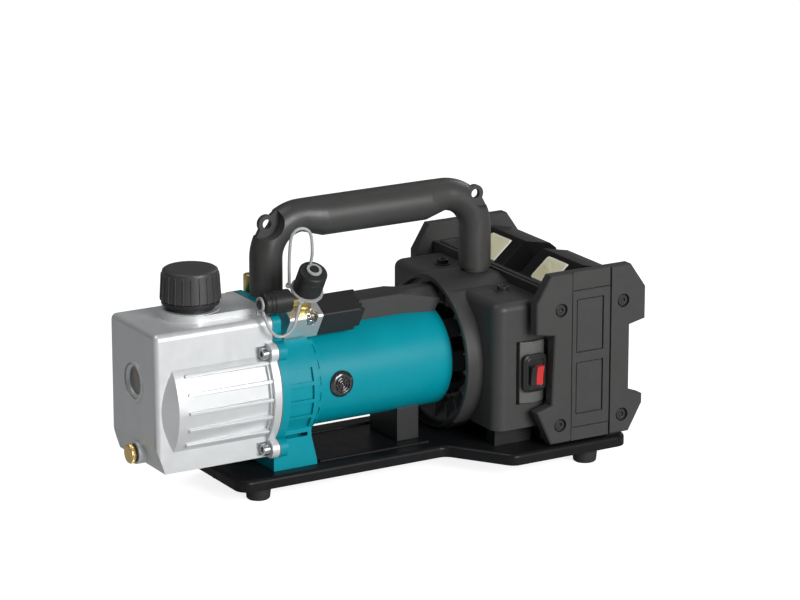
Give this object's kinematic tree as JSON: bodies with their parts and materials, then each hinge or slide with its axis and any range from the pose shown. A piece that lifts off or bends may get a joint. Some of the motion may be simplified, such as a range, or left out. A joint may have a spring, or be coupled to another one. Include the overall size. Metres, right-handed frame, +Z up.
{
  "type": "HVAC vacuum pump",
  "caption": "Battery-driven HVAC vacuum pump: finned oil tank, round motor, tilted flare intake with tethered caps, carrying handle, battery housing and guards on a footed tray.",
  "frame": {"origin": "middle of the model's footprint, on the floor under the rubber feet", "axes": "+X from the oil tank to the batteries along the motor shaft, +Y to the side away from the intake and switch, +Z up"},
  "size_m": [0.3759, 0.178, 0.2053],
  "materials": {
    "silver_casting": "satin",
    "teal_paint": "satin",
    "charcoal_plastic": "satin",
    "handle_plastic": "satin",
    "black_plastic": "satin",
    "battery_plastic": "gloss",
    "button_plastic": "satin",
    "rocker_red": "translucent gloss",
    "black_steel": "satin powder coat",
    "rubber_black": "matte",
    "motor_saddle": "satin",
    "valve_aluminium": "machined",
    "brass": "machined",
    "steel_bright": "bright",
    "steel_dark": "black oxide",
    "steel_ground": "ground",
    "pump_iron": "machined",
    "vane_composite": "satin",
    "winding_copper": "enamelled wire",
    "sight_window": "clear over oil",
    "strap_clear": "soft translucent",
    "gasket_black": "matte",
    "board_green": "solder mask"
  },
  "bodies": {
    "frame": {"air_inlet_ring": "black_plastic", "base_tray": "black_steel", "battery_cradle": "charcoal_plastic", "battery_terminals": "steel_bright", "block_screw": "steel_bright", "brass_tee": "brass", "case_screws": "steel_dark", "controller_board": "board_green", "exhaust_filter": "black_plastic", "exhaust_valve": "steel_ground", "foot_screws": "steel_bright", "front_bearing": "steel_ground", "guard_far": "charcoal_plastic", "guard_near": "charcoal_plastic", "handle": "handle_plastic", "handle_bolts": "steel_bright", "handle_collar": "handle_plastic", "motor_bracket": "teal_paint", "motor_end_bell": "charcoal_plastic", "motor_housing": "teal_paint", "motor_stator": "steel_ground", "motor_support": "motor_saddle", "oil_seals": "rubber_black", "oil_tank": "silver_casting", "power_switch": "black_plastic", "pump_bolts": "steel_bright", "pump_cylinder": "pump_iron", "pump_front_plate": "pump_iron", "rear_bearing": "steel_ground", "rear_housing": "charcoal_plastic", "rubber_feet": "rubber_black", "shaft_seal": "rubber_black", "sight_glass": "sight_window", "solenoid_valve": "black_plastic", "stator_windings": "winding_copper", "strap_rings": "strap_clear", "switch_plate": "charcoal_plastic", "tank_gasket": "gasket_black", "tank_screws": "steel_bright", "tether_long": "strap_clear", "tether_short": "strap_clear", "top_cover": "charcoal_plastic", "valve_block": "valve_aluminium", "vent_cap": "steel_dark"},
    "shaft": {"motor_shaft": "steel_ground", "motor_rotor": "steel_ground", "cooling_fan": "black_plastic", "pump_rotor": "pump_iron", "pump_vanes": "vane_composite"},
    "rocker": {"power_rocker": "rocker_red"},
    "battery_near": {"battery_near": "battery_plastic"},
    "battery_far": {"battery_far": "battery_plastic"},
    "button_near": {"battery_button_near": "button_plastic"},
    "button_far": {"battery_button_far": "button_plastic"},
    "oil_cap": {"oil_cap": "black_plastic"},
    "drain_plug": {"drain_plug": "brass"},
    "large_cap": {"flare_cap_large": "black_plastic"},
    "small_cap": {"flare_cap_small": "black_plastic"},
    "ballast": {"ballast_valve": "brass"},
    "plunger": {"solenoid_plunger": "steel_bright"}
  },
  "joints": [
    {"name": "shaft_spin", "type": "hinge", "parent": "frame", "child": "shaft", "pos_m": [0, 0, 0.0773], "axis": [1, 0, 0], "continuous": true},
    {"name": "power_rocker", "type": "hinge", "parent": "frame", "child": "rocker", "pos_m": [0.0996, -0.0786, 0.0756], "axis": [-1, 0, 0], "range_deg": [0, 14]},
    {"name": "battery_near_slide", "type": "slide", "parent": "frame", "child": "battery_near", "axis": [0, 0, 1], "range_m": [0, 0.08]},
    {"name": "battery_far_slide", "type": "slide", "parent": "frame", "child": "battery_far", "axis": [0, 0, 1], "range_m": [0, 0.08]},
    {"name": "button_near_press", "type": "slide", "parent": "battery_near", "child": "button_near", "axis": [0.6508, 0, -0.7593], "range_m": [0, 0.003], "stiffness_N_per_m": 1500},
    {"name": "button_far_press", "type": "slide", "parent": "battery_far", "child": "button_far", "axis": [0.6508, 0, -0.7593], "range_m": [0, 0.003], "stiffness_N_per_m": 1500},
    {"name": "oil_cap_turn", "type": "hinge", "parent": "frame", "child": "oil_cap", "pos_m": [-0.1343, 0, 0.15], "axis": [0, 0, 1], "range_deg": [0, 900]},
    {"name": "drain_plug_turn", "type": "hinge", "parent": "frame", "child": "drain_plug", "pos_m": [-0.18, -0.006, 0.0417], "axis": [-1, 0, 0], "range_deg": [0, 1080]},
    {"name": "large_cap_turn", "type": "hinge", "parent": "frame", "child": "large_cap", "pos_m": [-0.063, -0.0426, 0.1568], "axis": [0, -0.5299, 0.848], "range_deg": [0, 1080]},
    {"name": "small_cap_turn", "type": "hinge", "parent": "frame", "child": "small_cap", "pos_m": [-0.085, -0.03439, 0.14366], "axis": [-1, 0, 0], "range_deg": [0, 1080]},
    {"name": "ballast_turn", "type": "hinge", "parent": "frame", "child": "ballast", "pos_m": [-0.072, 0.0295, 0.14], "axis": [0, 0, 1], "range_deg": [0, 360]},
    {"name": "plunger_lift", "type": "slide", "parent": "frame", "child": "plunger", "axis": [1, 0, 0], "range_m": [0, 0.0025], "stiffness_N_per_m": 400}
  ]
}
